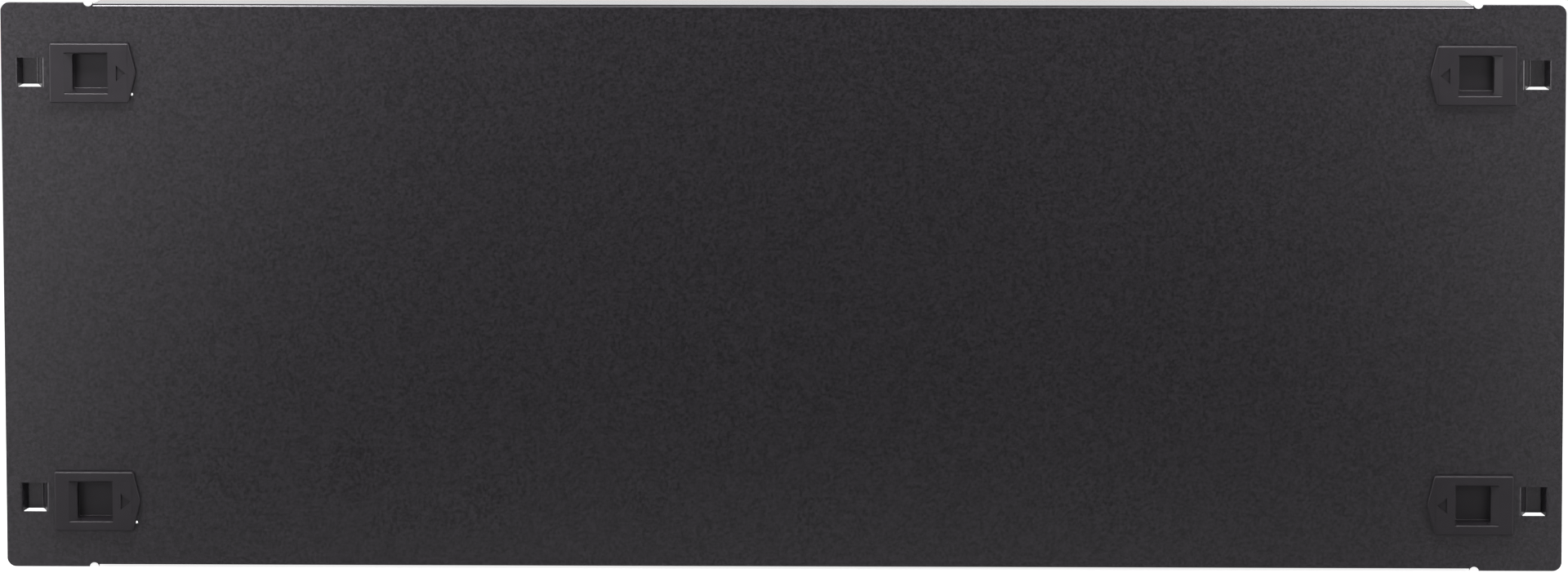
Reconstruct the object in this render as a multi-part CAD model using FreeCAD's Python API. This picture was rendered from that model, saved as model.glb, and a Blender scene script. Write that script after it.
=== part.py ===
"""Four-unit rack blanking panel that fits without tools.

One folded steel sheet closes the rack opening. Four bridge lances locate it in the square
holes of the rack rails, and four sprung plastic slide latches hook behind the rails.

Frame, in millimetres: X along the panel's width, Y from the front to the rear, Z up. The
origin is the centre of the mounting plane, which is the rear face of the sheet: the ears
lie on the rails there. A latch is laid out by its distances in from the panel's side edge.
"""
import FreeCAD, Part
import os
from math import cos, pi, sin, sqrt

Vector = FreeCAD.Vector
ALONG_X = Vector(1, 0, 0)
ALONG_Y = Vector(0, 1, 0)
ALONG_Z = Vector(0, 0, 1)
NEAR = 1e-4                  # how close two coordinates are when they are the same one

# ---- the rack that the panel fits ----
ROW_HEIGHT = 44.45           # one rack unit
ROW_COUNT = 4                # rack units that the panel covers
HOLE_SPACING = 465.1         # between the hole centres of the two rails
HOLE_TO_RAIL_EDGE = 7.55     # from a hole's centre to the rail's edge at the opening
SQUARE_HOLE = 9.5            # width of the square holes in the rails
RAIL_THICKNESS = 2.3         # thickest rail that the latches hook behind

# ---- the folded sheet ----
EAR_PAST_HOLE = 8.75         # from the hole's centre to the panel's side edge
HEIGHT_CLEARANCE = 0.8       # by which the panel is lower than its rack units
SHEET = 1.2                  # thickness of the steel with its coating
CORNER_RADIUS = 2.8          # outer corners of the ears
BEND_RADIUS = 0.8            # inside radius of every bend
BEND_LEAD = 0.1              # flat left between a cut edge and the bend beside it
FLANGE_DEPTH = 15.0          # from the front face to the free edge of a flange
FLANGE_STEP = 0.5            # by which a flange lies inside the edge of the ears
FLANGE_END_INSET = 2.6       # by which a flange's free edge is shorter at each end
FLANGE_CORNER_RADIUS = 2.0   # free corners of the flanges
NOTCH_FROM_RAIL = 10.8       # from the rail's edge to the relief notch beside a flange
NOTCH_RADIUS = 1.5
NOTCH_DEPTH = 1.25           # below the edge of the ear

# ---- bridge lances that enter the square holes ----
LANCE_PLAY = 0.25            # between a lance and its hole, each side
LANCE_DEPTH = 4.2            # from the mounting plane to the crest
LANCE_CREST = 6.0            # width of the flat crest
LANCE_HEIGHT = 8.2           # height of the strip that is pushed back
LANCE_SLIT = 0.5             # slit above and below the strip
LANCE_SHEET = 1.0            # thickness of the stretched strip
LANCE_RADIUS = 0.7           # where the front face turns into a leg, and at the crest

# ---- latch cut-outs, each with a tab bent back to hold the spring ----
CUTOUT_FROM_RAIL = 2.65      # from the rail's edge to the outboard end, the latch's stop
CUTOUT_HEIGHT = 15.0
TAB_SHOULDER = 2.5           # from each long edge of the cut-out to the tab
TAB_MARGIN = 1.3             # of the tab's free edge past the spring
TAB_CORNER_RADIUS = 1.5
STUD_HEIGHT = 0.6            # square half-shear stud that centres the spring on the tab
STUD_PLAY = 0.1              # between the stud's corners and the spring
NICK_RADIUS = 0.45           # nick in the lower inboard corner of the left cut-outs
NICK_OFFSET = 0.35           # of the nick's centre past the cut-out's end
NICK_RISE = 0.7              # of the nick's centre above the cut-out's lower edge
LOWER_LATCH_DROP = 1.0       # by which the lower latches sit below the lances' line

# ---- slide latch: one moulding, used four times ----
LATCH_TRAVEL = 3.4           # inward, to let go of the rail
LATCH_STOP_GAP = 0.05        # between boss and cut-out, at the outboard stop
LATCH_END_GAP = 0.15         # between boss and tab, when pushed fully inward
LATCH_SIDE_GAP = 0.2         # between collar and cut-out, above and below
LATCH_FACE_GAP = 0.1         # from the sheet to the plate in front and the wings behind
PLATE_OVERLAP = 1.8          # of the face plate over the cut-out's long edges
PLATE_LIP = 3.95             # of the plate past the cut-out's outboard end
PLATE_COVER = 1.7            # from the tab's face to where the plate's pointed end starts
PLATE_POINT = 2.3            # length of the pointed end
PLATE_TIP_RADIUS = 4.0
PLATE_THICKNESS = 2.0
PLATE_EDGE_RADIUS = 0.5
POCKET_START = 3.1           # from the boss's outboard end to the pocket's steep wall
POCKET_LENGTH = 11.05        # finger pocket, between its steep walls
POCKET_INSET = 0.3           # by which the pocket's mouth is narrower than its box, each way
POCKET_DEPTH = 5.3           # from the plate's face to the floor
POCKET_DRAFT = 0.8           # by which each long wall leans in at the floor
POCKET_RADIUS = 0.8          # upright corners of the pocket
POCKET_CHAMFER = 0.4         # along the pocket's long edges
RAMP_LENGTH = 2.6            # shallow run-in on the outboard side of the pocket
RAMP_DEPTH = 1.6
ARROW_START = 2.55           # from the pocket to the sunk arrow that shows which way to push
ARROW_LENGTH = 3.0
ARROW_HEIGHT = 4.9
ARROW_DEPTH = 0.4
BODY_WALL = 1.2              # walls of the moulding behind the sheet
SPINE_WALL = 1.5             # above and below the spring's bore
NOSE_REACH = 2.9             # by which the nose hooks behind the rail
NOSE_GAP = 0.1               # between the thickest rail and the nose
NOSE_TIP = 1.2               # thickness of the nose at its tip
NOSE_HEIGHT = 10.0
NOSE_TIP_RADIUS = 0.4
WING_THICKNESS = 0.9         # snap wings that keep the latch on the sheet
WING_WIDTH = 3.5
WING_ROOM = 1.0              # beside the pocket's box, for a wing to fold into
WING_OVERLAP = 1.1           # by which a wing hooks over the cut-out's edge
WING_MARGIN = 2.0            # from the ends of the boss to the wings

# ---- spring: one compression spring behind each latch ----
SPRING_DIAMETER = 4.0
SPRING_WIRE = 0.4
SPRING_WIRE_SIDES = 6        # the round wire is drawn with this many flats
SPRING_LENGTH = 10.1         # as fitted, with the latch at rest
SPRING_TURNS = 3.75
SPRING_PLAY = 0.3            # between the spring and its bore, all round
SPRING_SEAT_GAP = 0.02       # at each end

# ---- worked out from the sizes above ----
HALF_WIDTH = HOLE_SPACING / 2 + EAR_PAST_HOLE
EAR_WIDTH = HOLE_TO_RAIL_EDGE + EAR_PAST_HOLE
PANEL_HEIGHT = ROW_COUNT * ROW_HEIGHT - HEIGHT_CLEARANCE
HALF_HEIGHT = PANEL_HEIGHT / 2
FRONT = -SHEET
REAR = 0.0
BEND_OUTSIDE = BEND_RADIUS + SHEET
NOTCH_X = HALF_WIDTH - EAR_WIDTH - NOTCH_FROM_RAIL
FLANGE_HALF = NOTCH_X - NOTCH_RADIUS
FLANGE_TOP = HALF_HEIGHT - FLANGE_STEP
FLANGE_EDGE = FRONT + FLANGE_DEPTH
FLANGE_BEND_LINE = FLANGE_TOP - BEND_OUTSIDE
LANCE_X = HOLE_SPACING / 2
LANCE_Z = (ROW_COUNT - 1) * ROW_HEIGHT / 2
LANCE_ROOT = SQUARE_HOLE - 2 * LANCE_PLAY

CUTOUT_START = EAR_WIDTH + CUTOUT_FROM_RAIL
BOSS_OUTBOARD = CUTOUT_START + LATCH_STOP_GAP
POCKET_OUTBOARD = BOSS_OUTBOARD + POCKET_START
POCKET_INBOARD = POCKET_OUTBOARD + POCKET_LENGTH
BOSS_INBOARD = POCKET_INBOARD + BODY_WALL
TAB_FACE = BOSS_INBOARD + LATCH_TRAVEL + LATCH_END_GAP
TAB_BEND_LINE = TAB_FACE + BEND_OUTSIDE
TAB_WIDTH = CUTOUT_HEIGHT - 2 * TAB_SHOULDER
CUTOUT_END = TAB_BEND_LINE + BEND_LEAD
COLLAR_HEIGHT = CUTOUT_HEIGHT - 2 * LATCH_SIDE_GAP
BODY_HEIGHT = CUTOUT_HEIGHT - 2 * WING_ROOM
POCKET_HEIGHT = BODY_HEIGHT - 2 * POCKET_INSET
ARROW_BASE = POCKET_INBOARD + ARROW_START

PLATE_START = CUTOUT_START - PLATE_LIP
PLATE_SHOULDER = TAB_FACE + PLATE_COVER
PLATE_TIP = PLATE_SHOULDER + PLATE_POINT
PLATE_HEIGHT = CUTOUT_HEIGHT + 2 * PLATE_OVERLAP
PLATE_BACK = FRONT - LATCH_FACE_GAP
PLATE_FACE = PLATE_BACK - PLATE_THICKNESS
POCKET_FLOOR = PLATE_FACE + POCKET_DEPTH
POCKET_BACK = POCKET_FLOOR + BODY_WALL
BORE_RADIUS = SPRING_DIAMETER / 2 + SPRING_PLAY
SPRING_Y = POCKET_BACK + BORE_RADIUS
BORE_END = TAB_FACE - SPRING_LENGTH
SPINE_HEIGHT = 2 * (BORE_RADIUS + SPINE_WALL)
BODY_BACK = SPRING_Y + BORE_RADIUS + BODY_WALL
TAB_EDGE = SPRING_Y + SPRING_DIAMETER / 2 + TAB_MARGIN
STUD_SIDE = sqrt(2) * (SPRING_DIAMETER / 2 - SPRING_WIRE - STUD_PLAY)
NOSE_FRONT = RAIL_THICKNESS + NOSE_GAP
NOSE_END = EAR_WIDTH - NOSE_REACH

# The side of each latch (1 right, -1 left) and the height of its centre.
LATCH_PLACES = {
    "upper_right": (1, LANCE_Z),
    "upper_left": (-1, LANCE_Z),
    "lower_right": (1, -LANCE_Z - LOWER_LATCH_DROP),
    "lower_left": (-1, -LANCE_Z - LOWER_LATCH_DROP),
}


# ---- drawing helpers ----

def from_side(distance):
    """The X of a point on the right, from its distance to the panel's side edge."""
    return HALF_WIDTH - distance


def block(x, y, z):
    """A box between two limits along each axis."""
    low = Vector(min(x), min(y), min(z))
    high = Vector(max(x), max(y), max(z))
    size = high - low
    return Part.makeBox(size.x, size.y, size.z, low)


def prism(points, push):
    """A closed outline, pushed along a vector."""
    return Part.Face(Part.makePolygon(points + points[:1])).extrude(push)


def rounded(shape, radius, direction, chosen):
    """The shape with some of its straight edges rounded.

    The edges run along the direction, and chosen tells from an edge's middle if it is one.
    """
    edges = []
    for edge in shape.Edges:
        run = edge.Vertexes[-1].Point - edge.Vertexes[0].Point
        straight = isinstance(edge.Curve, Part.Line)
        if straight and run.cross(direction).Length < NEAR and chosen(edge.CenterOfMass):
            edges.append(edge)
    return shape.makeFillet(radius, edges)


def upside_down(shape):
    return shape.mirror(Vector(0, 0, 0), ALONG_Z)


def at_corner(shape, side, z):
    """A piece drawn on the right at Z = 0, brought to its corner of the panel.

    On the left it is the same piece after half a turn about the Y axis, not its mirror image.
    """
    copy = shape.copy()
    if side < 0:
        copy.rotate(Vector(0, 0, 0), ALONG_Y, 180)
    copy.translate(Vector(0, 0, z))
    return copy


# ---- folded sheet ----

def folded_leaf(bend_start, outward, free_edge, push):
    """A leaf of the sheet that is bent back from the flat, with the lead of flat before it.

    bend_start is on the front face where the bend starts, and outward points to the side
    that the leaf ends up on. The leaf reaches back to free_edge, and push gives its width.
    """
    centre = bend_start + ALONG_Y * BEND_OUTSIDE

    def bend(radius):
        start = centre - ALONG_Y * radius
        middle = centre + (outward - ALONG_Y).normalize() * radius
        end = centre + outward * radius
        return Part.Arc(start, middle, end).toShape(), start, end

    def edge_of(point):
        return Vector(point.x, free_edge, point.z)

    outer, outer_start, outer_end = bend(BEND_OUTSIDE)
    inner, inner_start, inner_end = bend(BEND_RADIUS)
    lead = outward * BEND_LEAD
    profile = Part.Wire([
        Part.makeLine(outer_start - lead, outer_start),
        outer,
        Part.makeLine(outer_end, edge_of(outer_end)),
        Part.makeLine(edge_of(outer_end), edge_of(inner_end)),
        Part.makeLine(edge_of(inner_end), inner_end),
        inner,
        Part.makeLine(inner_start, inner_start - lead),
        Part.makeLine(inner_start - lead, outer_start - lead),
    ])
    return Part.Face(profile).extrude(push)


def upper_flange():
    """The upper flange, with its ends tapered and its free corners rounded."""
    flange = folded_leaf(Vector(-FLANGE_HALF, FRONT, FLANGE_BEND_LINE), ALONG_Z, FLANGE_EDGE,
                         ALONG_X * 2 * FLANGE_HALF)
    for side in (-1, 1):
        root = side * FLANGE_HALF
        free = side * (FLANGE_HALF - FLANGE_END_INSET)
        taper = prism([
            Vector(root, BEND_RADIUS, FLANGE_BEND_LINE),
            Vector(free, FLANGE_EDGE, FLANGE_BEND_LINE),
            Vector(root, FLANGE_EDGE, FLANGE_BEND_LINE),
        ], ALONG_Z * BEND_OUTSIDE)
        flange = flange.cut(taper)
    return rounded(flange, FLANGE_CORNER_RADIUS, ALONG_Z, lambda p: p.y > FLANGE_EDGE - NEAR)


def flat_sheet():
    """The flat of the sheet: two ears with the web between them.

    The ears keep faces of their own at the back, where they lie on the rails.
    """
    inner = HALF_WIDTH - EAR_WIDTH
    ear = block((inner, HALF_WIDTH), (FRONT, REAR), (-HALF_HEIGHT, HALF_HEIGHT))
    ear = rounded(ear, CORNER_RADIUS, ALONG_Y, lambda p: p.x > HALF_WIDTH - NEAR)
    web = block((-inner, inner), (FRONT, REAR), (-HALF_HEIGHT, HALF_HEIGHT))
    for up in (-1, 1):
        root = up * (FLANGE_BEND_LINE - BEND_LEAD)
        web = web.cut(block((-FLANGE_HALF, FLANGE_HALF), (FRONT, REAR), (root, up * HALF_HEIGHT)))
        for side in (-1, 1):
            centre = Vector(side * NOTCH_X, FRONT, up * (HALF_HEIGHT - NOTCH_DEPTH + NOTCH_RADIUS))
            web = web.cut(Part.makeCylinder(NOTCH_RADIUS, SHEET, centre, ALONG_Y))
    return web.fuse([ear, ear.mirror(Vector(0, 0, 0), ALONG_X)])


def lance_opening(x, z):
    """What is taken out of the sheet at a lance: the strip and the slits beside it."""
    half = LANCE_HEIGHT / 2 + LANCE_SLIT
    return block((x - LANCE_ROOT / 2, x + LANCE_ROOT / 2), (FRONT, REAR), (z - half, z + half))


def lance(x, z):
    """One bridge lance: a strip of the sheet pushed back between two leaning legs."""
    root = LANCE_ROOT / 2
    lean = (root - LANCE_CREST / 2) / LANCE_DEPTH
    hollow_depth = LANCE_DEPTH - LANCE_SHEET
    hollow_mouth = root - LANCE_SHEET + lean * SHEET
    hollow_floor = root - LANCE_SHEET - lean * hollow_depth
    right_half = [
        (hollow_floor, hollow_depth),
        (hollow_mouth, FRONT),
        (root, FRONT),
        (root, REAR),
        (LANCE_CREST / 2, LANCE_DEPTH),
    ]
    low = z - LANCE_HEIGHT / 2
    right = [Vector(x + across, y, low) for across, y in right_half]
    left = [Vector(x - across, y, low) for across, y in reversed(right_half)]
    strip = prism(right + left, ALONG_Z * LANCE_HEIGHT)

    def mouth_or_crest(p):
        mouth = p.y < FRONT + NEAR and abs(p.x - x) < root - NEAR
        return mouth or p.y > LANCE_DEPTH - NEAR

    return rounded(strip, LANCE_RADIUS, ALONG_Z, mouth_or_crest)


def cutout():
    """What is taken out of the sheet for a latch."""
    return block((from_side(CUTOUT_END), from_side(CUTOUT_START)), (FRONT, REAR),
                 (-CUTOUT_HEIGHT / 2, CUTOUT_HEIGHT / 2))


def nick():
    """A round nick in the corner of a cut-out, drawn at the top because the left is turned."""
    centre = Vector(from_side(CUTOUT_END + NICK_OFFSET), FRONT, CUTOUT_HEIGHT / 2 - NICK_RISE)
    return Part.makeCylinder(NICK_RADIUS, SHEET, centre, ALONG_Y)


def spring_tab():
    """The tab at the inboard end of a cut-out, with the stud that centres the spring."""
    tab = folded_leaf(Vector(from_side(TAB_BEND_LINE), FRONT, -TAB_WIDTH / 2), ALONG_X, TAB_EDGE,
                      ALONG_Z * TAB_WIDTH)
    tab = rounded(tab, TAB_CORNER_RADIUS, ALONG_X, lambda p: p.y > TAB_EDGE - NEAR)
    face = from_side(TAB_FACE)
    back = face - SHEET
    y = (SPRING_Y - STUD_SIDE / 2, SPRING_Y + STUD_SIDE / 2)
    z = (-STUD_SIDE / 2, STUD_SIDE / 2)
    stud = block((face, face + STUD_HEIGHT), y, z)
    hollow = block((back, back + STUD_HEIGHT), y, z)
    return tab.fuse(stud).cut(hollow)


def panel():
    flange = upper_flange()
    sheet = flat_sheet().fuse([flange, upside_down(flange)])
    for x in (-LANCE_X, LANCE_X):
        for z in (-LANCE_Z, LANCE_Z):
            sheet = sheet.cut(lance_opening(x, z)).fuse(lance(x, z))
    for side, z in LATCH_PLACES.values():
        sheet = sheet.cut(at_corner(cutout(), side, z)).fuse(at_corner(spring_tab(), side, z))
        if side < 0:
            sheet = sheet.cut(at_corner(nick(), side, z))
    return sheet


# ---- slide latch, drawn on the right with its centre at Z = 0 ----

def face_plate():
    """The plate on the front of the panel, with a blunt point towards the middle."""
    half = PLATE_HEIGHT / 2
    outline = [
        (PLATE_START, -half),
        (PLATE_START, half),
        (PLATE_SHOULDER, half),
        (PLATE_TIP, 0),
        (PLATE_SHOULDER, -half),
    ]
    plate = prism([Vector(from_side(u), PLATE_BACK, z) for u, z in outline],
                  ALONG_Y * -PLATE_THICKNESS)
    plate = rounded(plate, PLATE_TIP_RADIUS, ALONG_Y, lambda p: abs(p.z) < NEAR)
    rim = [e for e in plate.Edges if e.BoundBox.YMax < PLATE_FACE + NEAR]
    return plate.makeFillet(PLATE_EDGE_RADIUS, rim)


def body():
    """What goes through the sheet, as one section: collar, pocket box, spine, back plate."""
    collar = COLLAR_HEIGHT / 2
    box = BODY_HEIGHT / 2
    spine = SPINE_HEIGHT / 2
    upper_half = [
        (PLATE_BACK, collar),
        (REAR, collar),
        (REAR, box),
        (POCKET_BACK, box),
        (POCKET_BACK, spine),
        (BODY_BACK - BODY_WALL, spine),
        (BODY_BACK - BODY_WALL, box),
        (BODY_BACK, box),
    ]
    x = from_side(BOSS_OUTBOARD)
    upper = [Vector(x, y, z) for y, z in upper_half]
    lower = [Vector(x, y, -z) for y, z in reversed(upper_half)]
    return prism(upper + lower, ALONG_X * (BOSS_OUTBOARD - BOSS_INBOARD))


def nose():
    """The hook behind the rail: flat in front, and sloped behind so that it rides in."""
    root = from_side(BOSS_OUTBOARD)
    end = from_side(NOSE_END)
    slope_start = NOSE_FRONT + NOSE_TIP
    outline = [
        (root, NOSE_FRONT),
        (end, NOSE_FRONT),
        (end, slope_start),
        (root, BODY_BACK),
    ]
    hook = prism([Vector(x, y, -NOSE_HEIGHT / 2) for x, y in outline], ALONG_Z * NOSE_HEIGHT)
    return rounded(hook, NOSE_TIP_RADIUS, ALONG_Z, lambda p: p.x > end - NEAR)


def wings():
    """Four thin wings that spring out behind the edges of the cut-out."""
    tip = CUTOUT_HEIGHT / 2 + WING_OVERLAP
    root = BODY_HEIGHT / 2
    section = [
        (BODY_BACK, root - WING_THICKNESS),
        (BODY_BACK, root),
        (LATCH_FACE_GAP, tip),
        (LATCH_FACE_GAP, tip - WING_THICKNESS),
    ]
    made = []
    for start in (BOSS_OUTBOARD + WING_MARGIN, BOSS_INBOARD - WING_MARGIN - WING_WIDTH):
        x = from_side(start)
        wing = prism([Vector(x, y, z) for y, z in section], ALONG_X * -WING_WIDTH)
        made += [wing, upside_down(wing)]
    return made


def finger_pocket():
    """What is taken out of the latch for a fingertip: a steep pocket with a run-in ramp."""
    outboard = from_side(POCKET_OUTBOARD)
    inboard = from_side(POCKET_INBOARD)
    half = POCKET_HEIGHT / 2
    floor = half - POCKET_DRAFT
    section = [
        (PLATE_FACE, -half),
        (PLATE_FACE, half),
        (POCKET_FLOOR, floor),
        (POCKET_FLOOR, -floor),
    ]
    pocket = prism([Vector(inboard, y, z) for y, z in section], ALONG_X * (outboard - inboard))
    upright = [e for e in pocket.Edges if PLATE_FACE + NEAR < e.CenterOfMass.y < POCKET_FLOOR - NEAR]
    pocket = pocket.makeFillet(POCKET_RADIUS, upright)
    ramp_foot = outboard - POCKET_RADIUS
    ramp = prism([
        Vector(outboard + RAMP_LENGTH, PLATE_FACE, -half),
        Vector(ramp_foot, PLATE_FACE + RAMP_DEPTH * (1 + POCKET_RADIUS / RAMP_LENGTH), -half),
        Vector(ramp_foot, PLATE_FACE, -half),
    ], ALONG_Z * POCKET_HEIGHT)
    bevel = prism([
        Vector(inboard, PLATE_FACE, -half - POCKET_CHAMFER),
        Vector(inboard, PLATE_FACE, half + POCKET_CHAMFER),
        Vector(inboard, PLATE_FACE + POCKET_CHAMFER, half),
        Vector(inboard, PLATE_FACE + POCKET_CHAMFER, -half),
    ], ALONG_X * (outboard + RAMP_LENGTH - inboard))
    return [pocket, ramp, bevel]


def arrow():
    """The sunk arrow that points the way the latch is pushed."""
    outline = [
        (ARROW_BASE + ARROW_LENGTH, 0),
        (ARROW_BASE, ARROW_HEIGHT / 2),
        (ARROW_BASE, -ARROW_HEIGHT / 2),
    ]
    return prism([Vector(from_side(u), PLATE_FACE, z) for u, z in outline], ALONG_Y * ARROW_DEPTH)


def latch():
    moulding = face_plate().fuse([body(), nose()] + wings())
    mouth = Vector(from_side(BOSS_INBOARD), SPRING_Y, 0)
    bore = Part.makeCylinder(BORE_RADIUS, BOSS_INBOARD - BORE_END, mouth, ALONG_X)
    return moulding.cut(finger_pocket() + [arrow(), bore])


# ---- spring, drawn on the right with its axis at Z = 0 ----

def spring():
    """A coil between the end of its bore and the tab."""
    coil_radius = (SPRING_DIAMETER - SPRING_WIRE) / 2
    rise = SPRING_LENGTH - 2 * SPRING_SEAT_GAP - SPRING_WIRE
    path = Part.Wire(Part.makeHelix(rise / SPRING_TURNS, rise, coil_radius).Edges)
    corners = []
    for side in range(SPRING_WIRE_SIDES):
        angle = 2 * pi * (side + 0.5) / SPRING_WIRE_SIDES
        corners.append(Vector(coil_radius + SPRING_WIRE / 2 * cos(angle), 0,
                              SPRING_WIRE / 2 * sin(angle)))
    coil = path.makePipeShell([Part.makePolygon(corners + corners[:1])], True, True)
    coil.rotate(Vector(0, 0, 0), ALONG_Y, 90)
    start = TAB_FACE - SPRING_SEAT_GAP - SPRING_WIRE / 2
    coil.translate(Vector(from_side(start), SPRING_Y, 0))
    return coil


def main():
    pieces = {"panel": panel()}
    moulding = latch()
    coil = spring()
    for corner, (side, z) in LATCH_PLACES.items():
        pieces["latch_" + corner] = at_corner(moulding, side, z)
        pieces["spring_" + corner] = at_corner(coil, side, z)
    os.makedirs("parts", exist_ok=True)
    for name, shape in pieces.items():
        print(name, "solids", len(shape.Solids), "valid", shape.isValid(),
              "volume %.1f mm3" % shape.Volume)
        shape.Solids[0].exportStep("parts/%s.step" % name)


main()
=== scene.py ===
# %% [markdown]
# # Rack blanking panel, dressed for a picture
#
# A blanking panel closes an empty place in a server rack, so that cooling air can't slip
# past the machines. This one is a folded steel sheet with a black powder coat. Four bridge
# lances drop into the square holes of the rack's rails, and four plastic latches snap
# behind the rails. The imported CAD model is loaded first. It fixes where everything is, and
# every piece that is made below is modelled over it and then takes its place.

# %% Load the frame and measure it
from math import atan2, cos, pi, radians, sin, tan

import bmesh
import bpy
from mathutils import Matrix, Vector


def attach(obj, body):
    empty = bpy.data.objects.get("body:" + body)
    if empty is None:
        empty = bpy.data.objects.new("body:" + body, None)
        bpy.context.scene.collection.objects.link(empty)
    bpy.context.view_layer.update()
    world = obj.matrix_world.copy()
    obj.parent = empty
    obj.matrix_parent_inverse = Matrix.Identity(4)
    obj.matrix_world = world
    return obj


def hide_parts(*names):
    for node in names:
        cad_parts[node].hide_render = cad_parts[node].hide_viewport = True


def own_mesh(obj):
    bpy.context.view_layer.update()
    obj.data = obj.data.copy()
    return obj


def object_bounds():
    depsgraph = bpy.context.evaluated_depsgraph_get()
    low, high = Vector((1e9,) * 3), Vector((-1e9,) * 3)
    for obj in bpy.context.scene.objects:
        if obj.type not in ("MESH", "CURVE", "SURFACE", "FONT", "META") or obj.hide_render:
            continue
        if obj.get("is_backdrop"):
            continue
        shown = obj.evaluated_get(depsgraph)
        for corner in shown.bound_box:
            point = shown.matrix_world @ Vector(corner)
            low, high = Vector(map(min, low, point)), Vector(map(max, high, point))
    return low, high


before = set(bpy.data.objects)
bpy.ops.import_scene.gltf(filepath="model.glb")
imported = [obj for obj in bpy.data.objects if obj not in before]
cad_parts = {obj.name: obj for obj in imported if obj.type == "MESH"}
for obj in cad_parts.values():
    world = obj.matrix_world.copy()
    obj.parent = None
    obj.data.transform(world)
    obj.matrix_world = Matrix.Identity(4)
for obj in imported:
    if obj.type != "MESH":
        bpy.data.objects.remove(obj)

cad_low, cad_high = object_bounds()
print("CAD box, mm:", [round(v * 1000, 2) for v in (*cad_low, *cad_high)])

# %% [markdown]
# Blender's unit is the metre, and the sizes of a sheet-metal part are told in millimetres.
# So the sizes stay in millimetres, and the helpers turn them into metres. The first helper
# adds a cube between two limits along each axis, which is how a maker would read a drawing.
# The object's own scale and place are applied at once: its place is then in its mesh, as it
# has to be for patterns and for export. The second adds a cylinder in the same way.

# %% Blocks and rods in millimetres
MM = 0.001


def nothing_selected():
    """Object mode, with nothing selected, because an operator acts on all that is selected."""
    if bpy.context.mode != "OBJECT":
        bpy.ops.object.mode_set(mode="OBJECT")
    bpy.ops.object.select_all(action="DESELECT")


def only(piece):
    """Selects this piece alone and makes it the active one."""
    nothing_selected()
    piece.select_set(True)
    bpy.context.view_layer.objects.active = piece
    return piece


def settle(piece):
    """Puts the piece's place, turn and scale into its mesh."""
    only(piece)
    bpy.ops.object.transform_apply(location=True, rotation=True, scale=True)
    return piece


def add_block(name, x, y, z):
    """A cube stretched between two limits along each axis, in millimetres."""
    nothing_selected()
    limits = (x, y, z)
    middle = [(low + high) / 2 * MM for low, high in limits]
    size = [(high - low) * MM for low, high in limits]
    bpy.ops.mesh.primitive_cube_add(size=1, location=middle, scale=size)
    piece = bpy.context.object
    piece.name = name
    return settle(piece)


def add_rod(name, along, middle, radius, length, sides):
    """A cylinder that lies along the X or the Y axis, with its middle in millimetres."""
    nothing_selected()
    turned = {"X": (0, pi / 2, 0), "Y": (pi / 2, 0, 0)}[along]
    bpy.ops.mesh.primitive_cylinder_add(
        vertices=sides, radius=radius * MM, depth=length * MM,
        location=[v * MM for v in middle], rotation=turned)
    piece = bpy.context.object
    piece.name = name
    return settle(piece)


print("helpers ready; one millimetre is", MM, "m")

# %% [markdown]
# In edit mode a person clicks on the faces and edges to work on. A script picks them by
# where they are. `open_edit` opens a piece and selects each part whose middle passes a
# test, with the middle given in millimetres. The small helpers after it are the moves that
# a modeller makes most: extrude, scale, move and bevel.

# %% Picking and shaping in edit mode
NEAR = 0.01                  # millimetres within which a place counts as reached


def middle_of(part):
    """The middle of a vertex, edge or face, in millimetres."""
    corners = [part] if isinstance(part, bmesh.types.BMVert) else part.verts
    return sum((v.co for v in corners), Vector()) / len(corners) / MM


def open_edit(piece, kind, test):
    """Edit mode on a piece, with the parts whose middle passes the test selected."""
    only(piece)
    bpy.ops.object.mode_set(mode="EDIT")
    bpy.ops.mesh.select_mode(type=kind)
    bpy.ops.mesh.select_all(action="DESELECT")
    mesh = bmesh.from_edit_mesh(piece.data)
    parts = {"VERT": mesh.verts, "EDGE": mesh.edges, "FACE": mesh.faces}[kind]
    chosen = [part for part in parts if test(middle_of(part))]
    for part in chosen:
        part.select_set(True)
    mesh.select_flush_mode()
    bmesh.update_edit_mesh(piece.data)
    if not chosen:
        raise RuntimeError("nothing selected on " + piece.name)
    return len(chosen)


def extrude(x=0.0, y=0.0, z=0.0):
    bpy.ops.mesh.extrude_region_move(TRANSFORM_OT_translate={"value": (x * MM, y * MM, z * MM)})


def scale_by(x=1.0, y=1.0, z=1.0, about=(0.0, 0.0, 0.0)):
    centre = [v * MM for v in about]
    bpy.ops.transform.resize(value=(x, y, z), center_override=centre)


def move_by(x=0.0, y=0.0, z=0.0):
    bpy.ops.transform.translate(value=(x * MM, y * MM, z * MM))


def bevel(width, segments):
    bpy.ops.mesh.bevel(offset=width * MM, segments=segments, profile=0.5, affect="EDGES")


def cut_loop(point, normal):
    """A new line of edges where a plane crosses the whole piece that is being edited."""
    bpy.ops.mesh.select_all(action="SELECT")
    bpy.ops.mesh.bisect(plane_co=[v * MM for v in point], plane_no=normal)


def is_at(value, target):
    return abs(value - target) < NEAR


print("edit helpers ready")

# %% [markdown]
# Some shapes are easier as a sum or a difference: a hole is what a block takes away. The
# Boolean modifier does that, and it is applied at once so that the next step works on real
# faces. The exact solver copes with faces that lie in one plane, which the fast one doesn't.

# %% Adding, cutting and copying solids
def combine(piece, tool, how):
    """Applies a Boolean: UNION adds the tool to the piece, DIFFERENCE cuts it away."""
    modifier = piece.modifiers.new(how.lower(), "BOOLEAN")
    modifier.operation = how
    modifier.solver = "EXACT"
    modifier.object = tool
    only(piece)
    bpy.ops.object.modifier_apply(modifier=modifier.name)
    bpy.data.objects.remove(tool, do_unlink=True)
    return piece


def add_to(piece, tool):
    return combine(piece, tool, "UNION")


def cut_from(piece, tool):
    return combine(piece, tool, "DIFFERENCE")


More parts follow.
